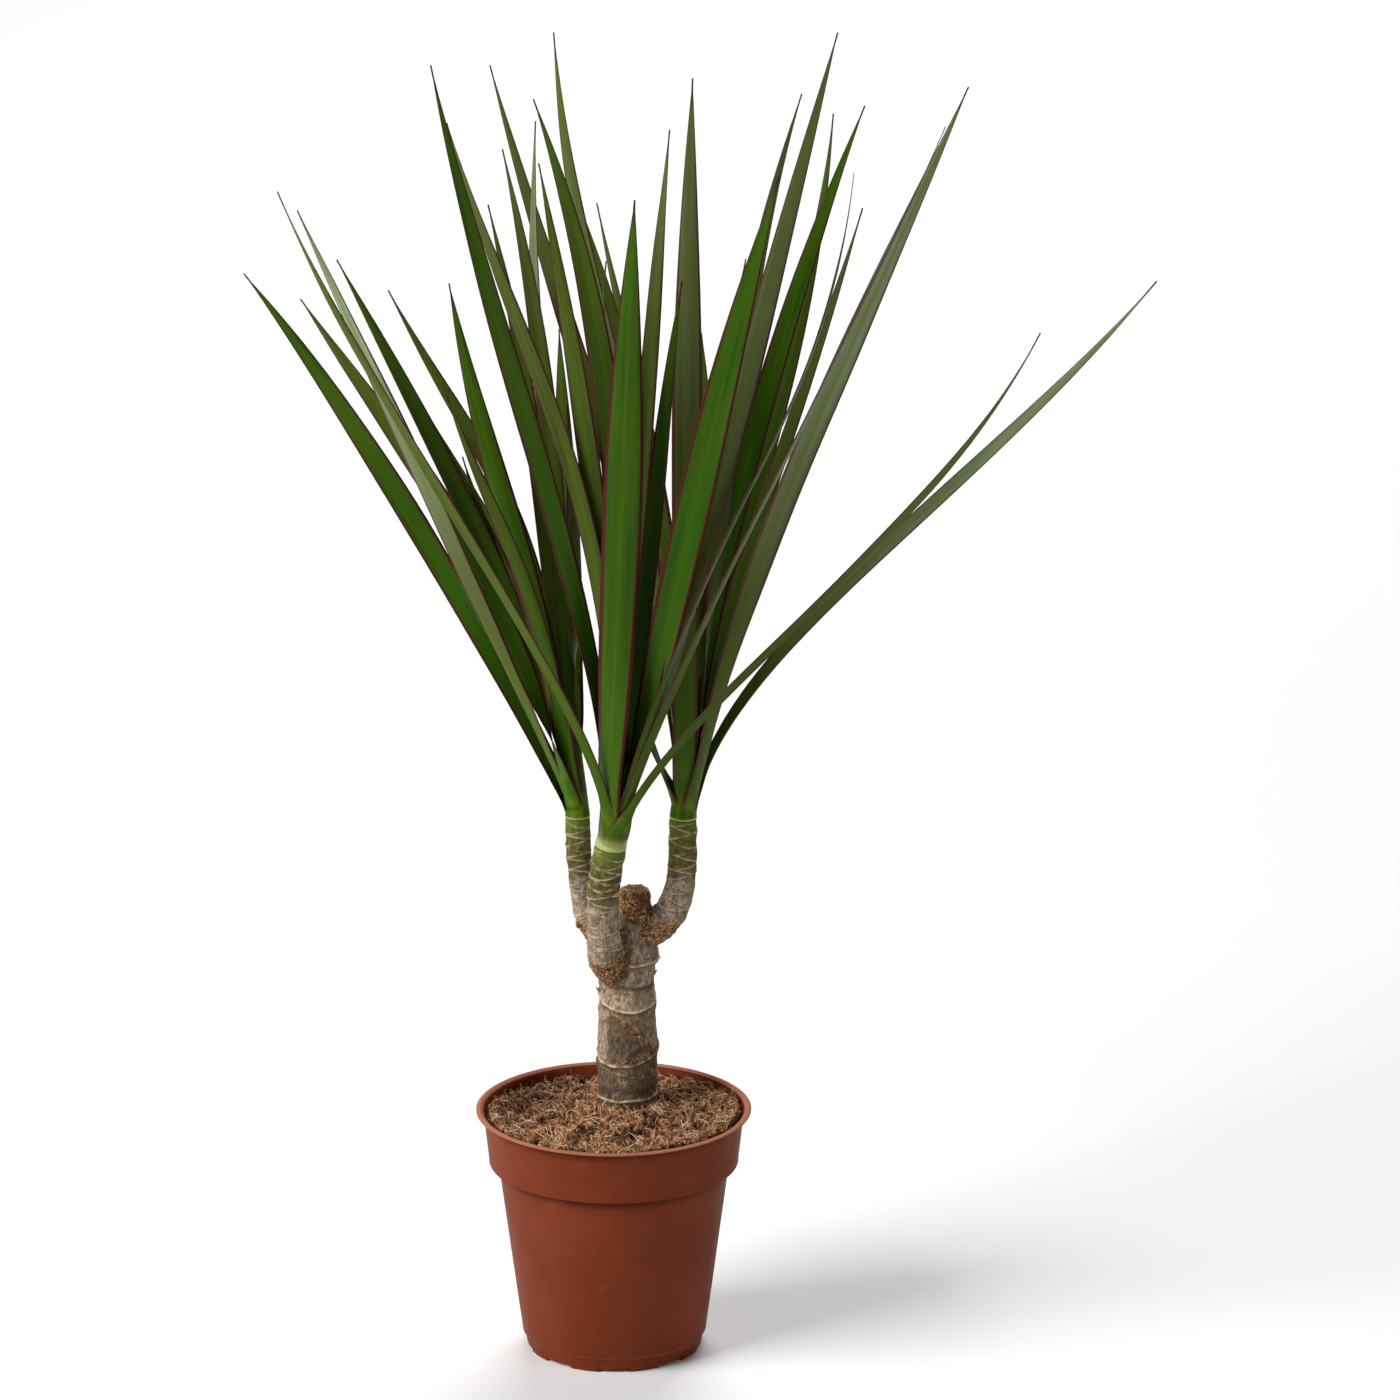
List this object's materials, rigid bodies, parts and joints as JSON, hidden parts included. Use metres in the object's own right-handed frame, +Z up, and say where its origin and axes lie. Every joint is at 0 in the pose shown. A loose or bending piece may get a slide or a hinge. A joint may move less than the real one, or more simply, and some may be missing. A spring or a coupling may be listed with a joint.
{
  "type": "potted dracaena marginata",
  "caption": "Young dragon tree in a nursery pot: a thick cut cane with leafy shoots carrying heads of long narrow arching leaves.",
  "frame": {"origin": "middle of the pot's flat underside, on the pot's own axis", "axes": "+Z up along the pot's axis; -Y is the front of the plant, +X its right as seen from the front"},
  "size_m": [0.3898, 0.2328, 0.5941],
  "materials": {
    "pot": "satin terracotta-coloured moulded plastic",
    "soil": "loose fibrous coir and peat potting mix",
    "bark": "grey-brown bark with leaf scars, green on the young shoots",
    "leaf_left": "satin green leaves with dark red margins",
    "leaf_front": "satin green leaves with dark red margins",
    "leaf_right": "satin green leaves with dark red margins"
  },
  "bodies": {
    "root": {"pot": "pot", "soil": "soil", "trunk": "bark", "left_head": "leaf_left", "front_head": "leaf_front", "right_head": "leaf_right"}
  },
  "joints": []
}
